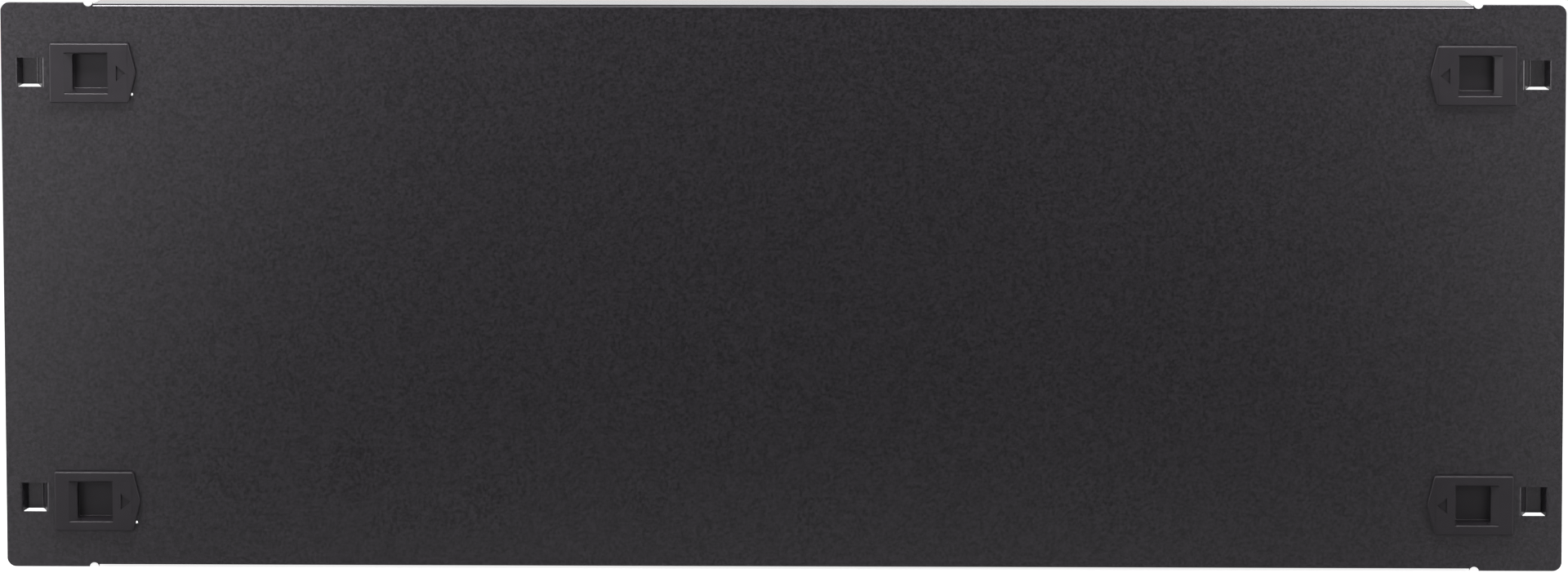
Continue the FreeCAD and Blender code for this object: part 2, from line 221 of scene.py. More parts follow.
def copy_of(piece, name):
    """A copy with a mesh of its own."""
    only(piece)
    bpy.ops.object.duplicate(linked=False)
    twin = bpy.context.object
    twin.name = name
    return twin


def joined(pieces):
    """Several pieces as one object, so that one Boolean takes them all."""
    only(pieces[0])
    for piece in pieces[1:]:
        piece.select_set(True)
    bpy.ops.object.join()
    return pieces[0]


def half_turn(piece):
    """Half a turn about the Y axis: right becomes left and top becomes bottom."""
    piece.matrix_world = Matrix.Rotation(pi, 4, "Y") @ piece.matrix_world
    return settle(piece)


def shift(piece, x=0.0, y=0.0, z=0.0):
    piece.location = piece.location + Vector((x, y, z)) * MM
    return settle(piece)


def discard(piece):
    bpy.data.objects.remove(piece, do_unlink=True)


def tell(name, piece):
    """Prints the number of faces, and of edges that don't join exactly two faces."""
    mesh = bmesh.new()
    mesh.from_mesh(piece.data)
    loose = sum(len(edge.link_faces) != 2 for edge in mesh.edges)
    mesh.free()
    print(name + ":", len(piece.data.polygons), "faces,", loose, "open edges")


SAME_POINT = 0.001           # millimetres within which two corners are one
SAME_PLANE = radians(0.3)    # the turn below which two faces are one


def merge_flats(piece):
    """Joins faces that lie in one plane, so that cuts leave no stray lines on them."""
    open_edit(piece, "VERT", lambda m: True)
    bpy.ops.mesh.remove_doubles(threshold=SAME_POINT * MM)
    bpy.ops.mesh.dissolve_limited(angle_limit=SAME_PLANE)
    nothing_selected()
    return piece


print("solid helpers ready")

# %% [markdown]
# ## The sheet
# The sheet starts as a flat blank. Its ears are the parts at the two ends that lie on the
# rack's rails, so they keep the full height and get rounded corners. Between the ears the
# blank is cut back at the top and bottom, where the flanges will be, and a small round
# notch on each side of the cut keeps the steel from tearing when it is bent. The outline
# could be drawn as one curve, but cutting a block keeps each size in plain sight.

# %% Flat blank with its ears
SIDE = 241.3                 # from the middle of the panel to its side edge
TOP = 88.5                   # from the middle to the top edge of the ears
SHEET = 1.2                  # thickness of the coated steel
FLANGE_HALF = 212.7          # half the length of a flange
FLANGE_TOP = 88.0
BEND_START = 86.0            # height at which the flange starts to bend
CUT_UNDER = 0.2              # how much deeper than that the blank is cut back
NOTCH_X, NOTCH_Z, NOTCH_RADIUS = 214.2, 88.75, 1.5
EAR_CORNER = 2.8             # radius of the corners of the ears
EDGE_ROUND = 0.12            # the coating rounds every cut edge a little
THROUGH = (-2, 1)            # from in front of the sheet to behind it

sheet = add_block("folded_sheet", (-SIDE, SIDE), (-SHEET, 0), (-TOP, TOP))
open_edit(sheet, "EDGE", lambda m: is_at(abs(m.x), SIDE) and is_at(abs(m.z), TOP))
bevel(EAR_CORNER, 10)
open_edit(sheet, "EDGE", lambda m: is_at(m.y, -SHEET) or is_at(m.y, 0))
bevel(EDGE_ROUND, 3)
nothing_selected()
tell("outline", sheet)
for up in (-1, 1):
    edge = sorted((up * (BEND_START - CUT_UNDER), up * (TOP + 1)))
    strip = add_block("strip", (-FLANGE_HALF, FLANGE_HALF), THROUGH, edge)
    cut_from(sheet, strip)
    for side in (-1, 1):
        middle = (side * NOTCH_X, 0, up * NOTCH_Z)
        cut_from(sheet, add_rod("notch", "Y", middle, NOTCH_RADIUS, length=4, sides=48))
tell("blank", merge_flats(sheet))

# %% [markdown]
# Both the flanges and the small spring tabs are leaves of the same sheet, bent back through
# a right angle. A leaf starts as a short strip of the flat. The half of its back that lies
# over the leaf is extruded to the rear, which gives a sharp L. Then the two corners get
# their bends as bevels, whose radii differ by the thickness of the sheet, so the steel
# keeps its thickness round the bend. It is drawn once for a leaf that points to +X, and
# turned upright for the flange.

# %% A leaf bent back from the sheet
BEND = 0.8                   # inside radius of a bend
ROOT = 0.8                   # how far a leaf's strip runs into the flat beside it


def bent_leaf(name, face, back_edge, half_width):
    """A leaf whose outer face is at x = face, reaching back to y = back_edge."""
    inner = face - SHEET
    start = face - SHEET - BEND - ROOT
    leaf = add_block(name, (start, face), (-SHEET, 0), (-half_width, half_width))
    open_edit(leaf, "FACE", lambda m: True)
    cut_loop((inner, 0, 0), (1, 0, 0))
    open_edit(leaf, "FACE", lambda m: is_at(m.y, 0) and m.x > inner)
    extrude(y=back_edge)
    open_edit(leaf, "EDGE", lambda m: is_at(m.x, face) and is_at(m.y, -SHEET))
    bevel(BEND + SHEET, 12)
    open_edit(leaf, "EDGE", lambda m: is_at(m.x, inner) and is_at(m.y, 0) and is_at(m.z, 0))
    bevel(BEND, 8)
    nothing_selected()
    return leaf


FLANGE_BACK = 13.8
FLANGE_TAPER = 2.6           # by which the free edge of a flange is shorter at each end
FLANGE_CORNER = 2.0
flange = bent_leaf("flange", FLANGE_TOP, FLANGE_BACK, FLANGE_HALF)
open_edit(flange, "VERT", lambda m: is_at(m.y, FLANGE_BACK))
scale_by(z=(FLANGE_HALF - FLANGE_TAPER) / FLANGE_HALF)
open_edit(flange, "EDGE", lambda m: is_at(m.y, FLANGE_BACK) and abs(m.z) > FLANGE_HALF - 5)
bevel(FLANGE_CORNER, 8)
nothing_selected()
flange.matrix_world = Matrix.Rotation(-pi / 2, 4, "Y") @ flange.matrix_world
settle(flange)
lower_flange = half_turn(copy_of(flange, "lower_flange"))
for leaf in (flange, lower_flange):
    add_to(sheet, leaf)
tell("with flanges", merge_flats(sheet))

# %% [markdown]
# A bridge lance is a strip of the sheet that a punch pushes back while two slits set it
# free above and below. Its two legs lean in, so it finds its way into the square hole of
# the rail, and the stretching draws it in, so it is lower at its crest than at its roots.
# The block below is extruded and narrowed at its back face, a narrower block is taken out
# of its front, and the crest and the mouth are rounded, as stretched steel is. A wider
# block at its root reaches into the sheet on both sides.

# %% Bridge lances
LANCE_X, LANCE_Z = 232.55, 66.675
LANCE_HALF, CREST_HALF = 4.5, 3.0
LANCE_BACK = 4.2
OPENING_HALF, ROOT_HALF, STRIP_HALF = 4.6, 4.55, 4.1
STRIP = 1.0                  # thickness of the stretched strip
MARGIN = 0.3                 # how far the root reaches into the sheet
INSET = 0.1                  # by which the opening is narrower on each side
CREST_ROUND, FLOOR_ROUND, MOUTH_ROUND = 0.5, 0.35, 0.7

lance = add_block("lance", (-LANCE_HALF, LANCE_HALF), (-SHEET / 2, 0), (-ROOT_HALF, ROOT_HALF))
open_edit(lance, "FACE", lambda m: is_at(m.y, 0))
extrude(y=LANCE_BACK)
scale_by(x=CREST_HALF / LANCE_HALF, z=STRIP_HALF / ROOT_HALF)
open_edit(lance, "EDGE", lambda m: is_at(m.y, LANCE_BACK) and is_at(abs(m.x), CREST_HALF))
bevel(CREST_ROUND, 6)
add_to(lance, add_block("root", (-LANCE_HALF - MARGIN, LANCE_HALF + MARGIN), (-SHEET, 0),
                        (-OPENING_HALF - MARGIN, OPENING_HALF + MARGIN)))
merge_flats(lance)
lean = (LANCE_HALF - CREST_HALF) / LANCE_BACK
mouth_half = LANCE_HALF - STRIP + lean * SHEET
floor_half = LANCE_HALF - STRIP - lean * (LANCE_BACK - STRIP)
hollow = add_block("hollow", (-mouth_half, mouth_half), (-SHEET - 1, LANCE_BACK - STRIP),
                   (-OPENING_HALF - 1, OPENING_HALF + 1))
open_edit(hollow, "FACE", lambda m: m.y > LANCE_BACK - STRIP - NEAR)
scale_by(x=floor_half / mouth_half)
open_edit(hollow, "EDGE", lambda m: m.y > LANCE_BACK - STRIP - NEAR and is_at(m.z, 0))
bevel(FLOOR_ROUND, 4)
open_edit(hollow, "VERT", lambda m: m.y < -SHEET)
scale_by(x=1 + lean / mouth_half)
cut_from(lance, hollow)
open_edit(lance, "EDGE",
          lambda m: is_at(m.y, -SHEET) and is_at(m.z, 0) and abs(m.x) < LANCE_HALF)
bevel(MOUTH_ROUND, 6)
nothing_selected()

for side in (-1, 1):
    for up in (-1, 1):
        x, z = side * LANCE_X, up * LANCE_Z
        opening = add_block(
            "opening", (x - LANCE_HALF + INSET, x + LANCE_HALF - INSET), THROUGH,
            (z - OPENING_HALF, z + OPENING_HALF))
        cut_from(sheet, opening)
        add_to(sheet, shift(copy_of(lance, "bridge"), x, 0, z))
discard(lance)
tell("with lances", merge_flats(sheet))

# %% [markdown]
# Each latch slides in a cut-out. At its inner end the steel that was there is bent back as
# a tab, and a round dimple pressed into the tab centres the spring. Right and left are the
# same shape after half a turn about the Y axis, so the cut-out and the tab are made once,
# for the right side, and `to_corner` brings a copy to each corner. The left cut-outs also
# have a small round nick in their lower inner corner.

# %% Latch cut-outs with their spring tabs
CORNERS = {
    "upper_right": (1, LANCE_Z),
    "upper_left": (-1, LANCE_Z),
    "lower_right": (1, -LANCE_Z - 1.0),
    "lower_left": (-1, -LANCE_Z - 1.0),
}
CUTOUT = (201.3, 222.35)
CUTOUT_HALF = 7.5
TAB_FACE, TAB_BACK, TAB_HALF, TAB_CORNER = 203.4, 8.8, 5.0, 1.5
SPRING_Y = 5.5
DIMPLE_RADIUS, DIMPLE_LONG, DIMPLE_ROUND = 1.3, 0.9, 0.25
DIMPLE_SUNK = 0.3            # how much of a dimple's length is inside the steel
NICK_X, NICK_DROP, NICK_RADIUS = 200.95, 6.8, 0.45


def to_corner(piece, corner, name):
    """A copy of a piece drawn on the right at z = 0, brought to its corner."""
    side, z = CORNERS[corner]
    twin = copy_of(piece, name)
    if side < 0:
        half_turn(twin)
    return shift(twin, z=z)


cutout = add_block("cutout", CUTOUT, THROUGH, (-CUTOUT_HALF, CUTOUT_HALF))
tab = bent_leaf("tab", TAB_FACE, TAB_BACK, TAB_HALF)
open_edit(tab, "EDGE", lambda m: is_at(m.y, TAB_BACK) and is_at(abs(m.z), TAB_HALF))
bevel(TAB_CORNER, 6)
for face, how in ((TAB_FACE, "UNION"), (TAB_FACE - SHEET, "DIFFERENCE")):
    start = face - DIMPLE_SUNK
    middle = (start + DIMPLE_LONG / 2, SPRING_Y, 0)
    dimple = add_rod("dimple", "X", middle, DIMPLE_RADIUS, DIMPLE_LONG, sides=32)
    open_edit(dimple, "FACE", lambda m: m.x > start + DIMPLE_LONG - NEAR)
    bevel(DIMPLE_ROUND, 4)
    nothing_selected()
    combine(tab, dimple, how)
for corner, (side, z) in CORNERS.items():
    gap = to_corner(cutout, corner, "gap")
    if side < 0:
        middle = (side * NICK_X, -0.5, z - NICK_DROP)
        add_to(gap, add_rod("nick", "Y", middle, NICK_RADIUS, length=2.6, sides=22))
    cut_from(sheet, gap)
tell("with cut-outs", merge_flats(sheet))
tabs = joined([to_corner(tab, corner, "tab_" + corner) for corner in CORNERS])
add_to(sheet, tabs)
discard(cutout)
discard(tab)
tell("with tabs", merge_flats(sheet))

# %% [markdown]
# Smooth shading makes the small faces of a bend look like one round, but on its own it also
# bends the light on the big flat face towards every rounded edge. Edges that turn by more
# than 30 degrees are therefore kept sharp, and the Weighted Normal modifier lets the larger
# face decide at each corner, so flat steel is shaded flat.

# %% Shade rounds smooth and flats flat
SHARP = radians(30)


def shade(piece):
    """Smooth shading on rounds, with flat faces kept flat."""
    only(piece)
    bpy.ops.object.shade_smooth_by_angle(angle=SHARP)
    steady = piece.modifiers.new("flat faces stay flat", "WEIGHTED_NORMAL")
    steady.keep_sharp = True
    bpy.ops.object.modifier_apply(modifier=steady.name)


shade(sheet)
print("finished sheet:", [round(v / MM, 2) for v in sheet.dimensions])

# %% [markdown]
# ## The latch
# The latch is one plastic moulding. Its face plate lies on the front of the sheet, with a
# blunt point that shows which way to push it. The plate is a block with a line of edges
# along its middle, and the two corners of one end are drawn back from that line. Each kind
# of corner gets the rounding that a mould maker would give it.

# %% Face plate
PLATE_OUT, PLATE_TIP = 226.3, 199.4
POINT = 2.3                  # how far the corners are drawn back from the tip
PLATE_HALF = 9.3
PLATE_FACE, PLATE_BACK = -3.3, -1.3
TIP_RADIUS, PLATE_CORNER, PLATE_ROUND = 4.0, 0.6, 0.5

latch = add_block("slide_latch", (PLATE_TIP, PLATE_OUT), (PLATE_FACE, PLATE_BACK),
                  (-PLATE_HALF, PLATE_HALF))
open_edit(latch, "FACE", lambda m: True)
cut_loop((0, 0, 0), (0, 0, 1))
open_edit(latch, "VERT", lambda m: is_at(m.x, PLATE_TIP) and is_at(abs(m.z), PLATE_HALF))
move_by(x=POINT)
turn = atan2(POINT, PLATE_HALF)
open_edit(latch, "EDGE", lambda m: is_at(m.x, PLATE_TIP) and is_at(m.z, 0))
bevel(TIP_RADIUS * tan(turn), 8)
halfway = (PLATE_FACE + PLATE_BACK) / 2
open_edit(latch, "EDGE", lambda m: is_at(abs(m.z), PLATE_HALF) and is_at(m.y, halfway))
bevel(PLATE_CORNER, 6)
open_edit(latch, "FACE", lambda m: is_at(m.y, PLATE_FACE))
bpy.ops.mesh.region_to_loop()
bevel(PLATE_ROUND, 6)
tell("face plate", merge_flats(latch))

# %% [markdown]
# Behind the plate the moulding is a stack of steps: a collar that fits the cut-out, the box
# round the finger pocket, a narrow spine with the bore for the spring, and a back plate.
# Each step is a block that runs a little into the one before it.

# %% Body behind the sheet
BOSS = (206.95, 222.3)
STEPS = [                    # (start, end, half height) from front to back
    (PLATE_BACK - 0.5, 0.0, 7.3),
    (-0.5, 3.2, 6.5),
    (2.7, 8.4, 3.8),
    (7.8, 9.0, 6.5),
]
for start, end, half in STEPS:
    add_to(latch, add_block("step", BOSS, (start, end), (-half, half)))
tell("with its body", merge_flats(latch))

# %% [markdown]
# The nose is the hook that catches the rail. It is a block whose rear slopes down to a thin
# tip, so that the latch rides back over the edge of the rail's hole by itself.

# %% Hooking nose
NOSE_START, NOSE_TIP = 222.0, 227.9
HOOK_FRONT, TIP_BACK, BODY_BACK = 2.4, 3.6, 9.0
NOSE_HALF = 5.0
NOSE_ROUND = 0.4

slope = (BODY_BACK - TIP_BACK) / (NOSE_TIP - BOSS[1])
nose = add_block("nose", (NOSE_START, NOSE_TIP), (HOOK_FRONT, BODY_BACK),
                 (-NOSE_HALF, NOSE_HALF))
open_edit(nose, "VERT", lambda m: is_at(m.x, NOSE_TIP) and m.y > HOOK_FRONT + NEAR)
move_by(y=TIP_BACK - BODY_BACK)
open_edit(nose, "VERT", lambda m: is_at(m.x, NOSE_START) and m.y > HOOK_FRONT + NEAR)
move_by(y=slope * (BOSS[1] - NOSE_START))
open_edit(nose, "EDGE", lambda m: is_at(m.x, NOSE_TIP) and is_at(m.z, 0))
bevel(NOSE_ROUND, 5)
nothing_selected()
cut_from(nose, add_block("trim", (NOSE_START - 1, NOSE_START + 1), (BODY_BACK, BODY_BACK + 1),
                         (-NOSE_HALF - 1, NOSE_HALF + 1)))
add_to(latch, nose)
tell("with body and nose", latch)

# %% [markdown]
# Four thin wings make the latch snap in: they fold against the body while it is pushed
# through the cut-out, and spring out behind the sheet. Each is a thin block whose front end
# is moved outwards, so it leans.

# %% Snap wings
WING, WING_LONG, WING_STARTS = 0.9, 3.5, (216.8, 208.95)
WING_FRONT, WING_LEAN = 0.1, 2.1
WING_ROOT = STEPS[-1][2]     # the wings grow from the edge of the back plate

for x in WING_STARTS:
    for up in (-1, 1):
        low, high = sorted((up * (WING_ROOT - WING), up * WING_ROOT))
        wing = add_block("wing", (x, x + WING_LONG), (WING_FRONT, BODY_BACK), (low, high))
        open_edit(wing, "FACE", lambda m: is_at(m.y, WING_FRONT))
        move_by(z=up * WING_LEAN)
        nothing_selected()
        add_to(latch, wing)
tell("with wings", latch)

# %% [markdown]
# The finger pocket is what a person touches, and it takes the most care. It is a deep box
# with leaning walls and rounded corners, next to a shallow ramp on the outer side that
# leads the fingertip in. Both are modelled as the air inside them and then cut from the
# latch. The arrow is a wedge of air whose one end is squeezed to a line.

# %% Finger pocket, ramp, arrow and bore
POCKET = (208.15, 219.2)
POCKET_HALF, POCKET_FLOOR = 6.2, 2.0
POCKET_LEAN = 0.8            # by which each wall comes in on its way to the floor
POCKET_CORNER, POCKET_ROUND = 0.8, 0.35
RAMP_END, RAMP_DEEP = 221.8, 1.6
OVERLAP = 1.2                # how far the ramp runs into the pocket
ARROW_TIP, ARROW_END, ARROW_HALF, ARROW_DEEP = 202.6, 205.6, 2.45, 0.7
BORE_START, BORE_END, BORE_RADIUS = 205.0, 213.5, 2.3

pocket = add_block("pocket", POCKET, (PLATE_FACE - 1, POCKET_FLOOR),
                   (-POCKET_HALF, POCKET_HALF))
open_edit(pocket, "FACE", lambda m: is_at(m.y, POCKET_FLOOR))
scale_by(z=(POCKET_HALF - POCKET_LEAN) / POCKET_HALF)
open_edit(pocket, "FACE", lambda m: is_at(m.y, PLATE_FACE - 1))
scale_by(z=1 + POCKET_LEAN / (POCKET_FLOOR - PLATE_FACE) / POCKET_HALF)
open_edit(pocket, "EDGE", lambda m: PLATE_FACE < m.y < POCKET_FLOOR - NEAR)
bevel(POCKET_CORNER, 6)
open_edit(pocket, "FACE", lambda m: is_at(m.y, POCKET_FLOOR))
bpy.ops.mesh.region_to_loop()
bevel(POCKET_ROUND, 4)
nothing_selected()

ramp = add_block("ramp", (POCKET[1] - OVERLAP, RAMP_END), (PLATE_FACE - 1, PLATE_FACE),
                 (-POCKET_HALF, POCKET_HALF))
slope = RAMP_DEEP / (RAMP_END - POCKET[1])
open_edit(ramp, "VERT", lambda m: m.x < POCKET[1] and is_at(m.y, PLATE_FACE))
move_by(y=slope * (RAMP_END - POCKET[1] + OVERLAP))
nothing_selected()
add_to(pocket, ramp)
cut_from(latch, pocket)

arrow = add_block("arrow", (ARROW_TIP, ARROW_END),
                  (PLATE_FACE - 1, PLATE_FACE + ARROW_DEEP), (-ARROW_HALF, ARROW_HALF))
open_edit(arrow, "FACE", lambda m: is_at(m.x, ARROW_TIP))
scale_by(z=0)
merge_flats(arrow)
cut_from(latch, arrow)

middle = ((BORE_START + BORE_END) / 2, SPRING_Y, 0)
bore = add_rod("bore", "X", middle, BORE_RADIUS, BORE_END - BORE_START, sides=48)
cut_from(latch, bore)
tell("with pocket, arrow and bore", merge_flats(latch))

# %% [markdown]
# The upper and lower lips of the pocket are rounded. What has to go is a long block less a
# round bar, which is left standing as the lip.

# %% Round the pocket's lips
LIP = 0.45                   # radius of the rounded lips
LIP_INSET = 0.2              # how far the waste reaches into the pocket's air
BAR_MIDDLE, BAR_LONG = 215, 20

for up in (-1, 1):
    waste = add_block(
        "waste", (POCKET[0], RAMP_END - LIP_INSET), (PLATE_FACE - 1, PLATE_FACE + LIP),
        sorted((up * (POCKET_HALF - LIP_INSET), up * (POCKET_HALF + LIP))))
    middle = (BAR_MIDDLE, PLATE_FACE + LIP, up * (POCKET_HALF + LIP))
    cut_from(waste, add_rod("bar", "X", middle, LIP, BAR_LONG, sides=32))
    cut_from(latch, waste)
tell("with rounded lips", merge_flats(latch))
shade(latch)

# %% [markdown]
# ## The spring
# Behind each latch sits a small coil spring. A circle of the wire's thickness is placed at
# the coil's radius, and the Screw modifier carries it round and along the axis. The two
# open ends are then closed with a face each.

# %% Coil spring
COIL, WIRE, TURNS = 1.8, 0.2, 3.75
SPRING_START, SPRING_END = 203.42, 213.48
SIDES, STEPS_A_TURN = 12, 28  # round the wire, and along the coil

nothing_selected()
bpy.ops.mesh.primitive_circle_add(vertices=SIDES, radius=WIRE * MM,
                                  location=((SPRING_START + WIRE) * MM, 0, COIL * MM),
                                  rotation=(pi / 2, 0, 0))
spring = settle(bpy.context.object)
spring.name = "coil_spring"
coil = spring.modifiers.new("coil", "SCREW")
coil.axis = "X"
coil.angle = 2 * pi * TURNS
coil.screw_offset = (SPRING_END - SPRING_START - 2 * WIRE) * MM
coil.steps = coil.render_steps = int(TURNS * STEPS_A_TURN)
only(spring)
bpy.ops.object.modifier_apply(modifier=coil.name)
shift(spring, y=SPRING_Y)
bpy.ops.object.mode_set(mode="EDIT")
bpy.ops.mesh.select_mode(type="EDGE")
bpy.ops.mesh.select_all(action="DESELECT")
bpy.ops.mesh.select_non_manifold()
bpy.ops.mesh.edge_face_add()
bpy.ops.mesh.select_all(action="SELECT")
bpy.ops.mesh.normals_make_consistent(inside=False)
only(spring)
bpy.ops.object.shade_smooth_by_angle(angle=radians(40))
tell("spring", spring)

# %% [markdown]
# ## Finishes
# A satin powder coat isn't a flat colour. Its grains melt into a fine orange peel, and its
# gloss changes a little from place to place. Noise textures on object coordinates give both
# at real sizes: about a millimetre for the grain, and some centimetres for the gloss.

# %% Material helpers
def new_finish(name, colour, roughness, specular):
    """A Principled material with its plain values on the shader's own sockets."""
    finish = bpy.data.materials.new(name)
    finish.use_nodes = True
    shader = finish.node_tree.nodes["Principled BSDF"]
    shader.inputs["Base Color"].default_value = (*colour, 1)
    shader.inputs["Roughness"].default_value = roughness
    shader.inputs["Specular IOR Level"].default_value = specular
    return finish, shader


def noise(finish, grain, detail=3.0):
    """A noise texture on object coordinates whose grains are about this many millimetres."""
    nodes, links = finish.node_tree.nodes, finish.node_tree.links
    place = nodes.new("ShaderNodeTexCoord")
    texture = nodes.new("ShaderNodeTexNoise")
    texture.inputs["Scale"].default_value = 1 / (grain * MM)
    texture.inputs["Detail"].default_value = detail
    links.new(place.outputs["Object"], texture.inputs["Vector"])
    return texture.outputs["Fac"]


def between(finish, value, low, high):
    """Spreads a noise value, which mostly lies from 0.3 to 0.7, over a range."""
    node = finish.node_tree.nodes.new("ShaderNodeMapRange")
    node.inputs["From Min"].default_value = 0.3
    node.inputs["From Max"].default_value = 0.7
    node.inputs["To Min"].default_value = low
    node.inputs["To Max"].default_value = high
    finish.node_tree.links.new(value, node.inputs["Value"])
    return node.outputs["Result"]


def raise_surface(finish, shader, value, height, strength):
    """A bump of this height in millimetres."""
    node = finish.node_tree.nodes.new("ShaderNodeBump")
    node.inputs["Strength"].default_value = strength
    node.inputs["Distance"].default_value = height * MM
    finish.node_tree.links.new(value, node.inputs["Height"])
    finish.node_tree.links.new(node.outputs["Normal"], shader.inputs["Normal"])


def tint(finish, shader, value, dark, light):
    """Lets the colour drift between two shades."""
    node = finish.node_tree.nodes.new("ShaderNodeMix")
    node.data_type = "RGBA"
    node.inputs[6].default_value = (*dark, 1)
    node.inputs[7].default_value = (*light, 1)
    finish.node_tree.links.new(value, node.inputs[0])
    finish.node_tree.links.new(node.outputs[2], shader.inputs["Base Color"])


print("finish helpers ready")

# %% [markdown]
# The coat is black with a trace of violet. Its melted grains differ, so the colour flickers
# from one millimetre to the next. The gloss changes a little over some centimetres, and a
# bump of a few hundredths of a millimetre stands for the orange peel.

# %% Powder coat
VIOLET = (0.99, 0.965, 1.0, 1)  # the faint cast of a reflection in the black
COAT = (0.0150, 0.0135, 0.0162)
coat, shader = new_finish("satin powder coat", COAT, 0.22, 0.8)
shader.inputs["Specular Tint"].default_value = VIOLET
grains = between(coat, noise(coat, 0.8, 2), 0, 1)
tint(coat, shader, grains, [c * 0.5 for c in COAT], [c * 1.5 for c in COAT])
coat.node_tree.links.new(between(coat, noise(coat, 25), 0.21, 0.23), shader.inputs["Roughness"])
raise_surface(coat, shader, noise(coat, 1.1, 3), 0.03, 0.8)
print("powder coat, base", COAT)

# %% [markdown]
# The latches are moulded in a steel tool whose face was etched, so they are as black as the
# coat but with a finer, drier grain. The springs are bright drawn wire.

# %% Moulded plastic and spring wire
PLASTIC = (0.0146, 0.0126, 0.0154)
moulding, shader = new_finish("black moulding", PLASTIC, 0.42, 0.42)
shader.inputs["Specular Tint"].default_value = VIOLET
drift = between(moulding, noise(moulding, 9, 2), 0, 1)
tint(moulding, shader, drift, [c * 0.93 for c in PLASTIC], [c * 1.08 for c in PLASTIC])
moulding.node_tree.links.new(between(moulding, noise(moulding, 3), 0.39, 0.46),
                             shader.inputs["Roughness"])
raise_surface(moulding, shader, noise(moulding, 0.22, 2), 0.01, 0.4)

wire, shader = new_finish("bright spring wire", (0.55, 0.55, 0.57), 0.3, 0.5)
shader.inputs["Metallic"].default_value = 1.0
wire.node_tree.links.new(between(wire, noise(wire, 0.6), 0.24, 0.4), shader.inputs["Roughness"])
raise_surface(wire, shader, noise(wire, 0.15, 2), 0.004, 0.3)
print("finishes:", coat.name, "/", moulding.name, "/", wire.name)

# %% [markdown]
# ## Put the pieces in place
# The latch and the spring were made once, on the right at z = 0. Each corner gets its own copy.
# A latch rides on the body that slides. A spring stays with the panel.

# %% Dress each corner
def dress(piece, finish, body, node):
    """Gives a piece its finish and its body, and lets it stand for a CAD node."""
    piece.data.materials.clear()
    piece.data.materials.append(finish)
    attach(piece, body)
    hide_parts(node)


dress(sheet, coat, "fixed_panel", "panel")
for corner, (side, _) in CORNERS.items():
    slider = to_corner(latch, corner, "latch_moulding_" + corner)
    dress(slider, moulding, "slider_" + corner, "latch_" + corner)
    coiled = to_corner(spring, corner, "latch_spring_" + corner)
    dress(coiled, wire, "fixed_panel", "spring_" + corner)
    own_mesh(coiled)
discard(latch)
discard(spring)

# %% [markdown]
# ## Stage
# A plain sheet of pale paper lies just under the panel.

# %% Floor
FLOOR_GAP = 0.5              # below the bottom edge, in millimetres
WIDE, FRONT, BACK = 14.0, -2.0, 7.0     # metres: its width, and its near and far edges

nothing_selected()
bpy.ops.mesh.primitive_plane_add(
    size=1, location=(0, (FRONT + BACK) / 2, cad_low.z - FLOOR_GAP * MM))
floor = bpy.context.object
floor.scale = (WIDE, BACK - FRONT, 1)
settle(floor)
floor.name = "floor"
print("floor", WIDE, "m wide and", BACK - FRONT, "m deep")

# %% [markdown]
# The paper glows a little for the camera alone, so it looks white where nothing shades it and
# still keeps the panel's shadow. A reflection doesn't see the lit paper but a painted glow of
# its own, because black paint mirrors every pale thing in front of it, and a white floor would
# turn the panel grey. This painted reflection is low straight ahead, and higher far aside and
# near the panel's foot, so it paints a lighter sheen towards the panel's ends and its lower
# edge.

# %% Pale paper
PAPER = 0.8                  # how pale the paper is
PAPER_GLOW = 0.85            # what the camera sees on top of the lit paper
# The levels below are painted glow that reflections see on the paper, not light that falls on
# it.
AHEAD, ASIDE = 0.11, 0.83    # the level in a reflection
ASIDE_FROM, ASIDE_TO = 0.17, 0.38       # metres from the middle, where it changes
FOOT_GLOW, FOOT_REACH = 0.18, 0.3       # what the panel's foot adds, and how far it reaches

paper, shader = new_finish("pale paper", (PAPER, PAPER, PAPER), 0.9, 0.1)
nodes, links = paper.node_tree.nodes, paper.node_tree.links


def spread(value, start, end, low, high, way="LINEAR"):
    """Maps a value that runs from start to end onto the range from low to high."""
    node = nodes.new("ShaderNodeMapRange")
    node.interpolation_type = way
    ends = {"From Min": start, "From Max": end, "To Min": low, "To Max": high}
    for name, number in ends.items():
        node.inputs[name].default_value = number
    links.new(value, node.inputs["Value"])
    return node.outputs["Result"]


def reckon(how, first, second=None):
    """A Math node; the second input may be a number or another node's output."""
    node = nodes.new("ShaderNodeMath")
    node.operation = how
    links.new(first, node.inputs[0])
    if isinstance(second, float):
        node.inputs[1].default_value = second
    elif second is not None:
        links.new(second, node.inputs[1])
    return node.outputs["Value"]


ray = nodes.new("ShaderNodeLightPath")
shader.inputs["Emission Color"].default_value = (1, 1, 1, 1)
links.new(reckon("MULTIPLY", ray.outputs["Is Camera Ray"], PAPER_GLOW),
          shader.inputs["Emission Strength"])
place = nodes.new("ShaderNodeTexCoord")
parts = nodes.new("ShaderNodeSeparateXYZ")
links.new(place.outputs["Object"], parts.inputs["Vector"])
sideways = spread(reckon("ABSOLUTE", parts.outputs["X"]),
                  ASIDE_FROM, ASIDE_TO, AHEAD, ASIDE, "SMOOTHSTEP")
foot = spread(parts.outputs["Y"], -FOOT_REACH, 0, 0, FOOT_GLOW)
# Painted reflection: for glossy rays the paper is swapped for this emission, whose strength is
# set by place.
painted_reflection = nodes.new("ShaderNodeEmission")
links.new(reckon("ADD", sideways, foot), painted_reflection.inputs["Strength"])
swap = nodes.new("ShaderNodeMixShader")
links.new(ray.outputs["Is Glossy Ray"], swap.inputs["Fac"])
links.new(shader.outputs["BSDF"], swap.inputs[1])
links.new(painted_reflection.outputs["Emission"], swap.inputs[2])
links.new(swap.outputs["Shader"], nodes["Material Output"].inputs["Surface"])
floor.data.materials.append(paper)
floor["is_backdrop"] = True
print("paper for the camera:", round(PAPER + PAPER_GLOW, 2), "at a level of 1")

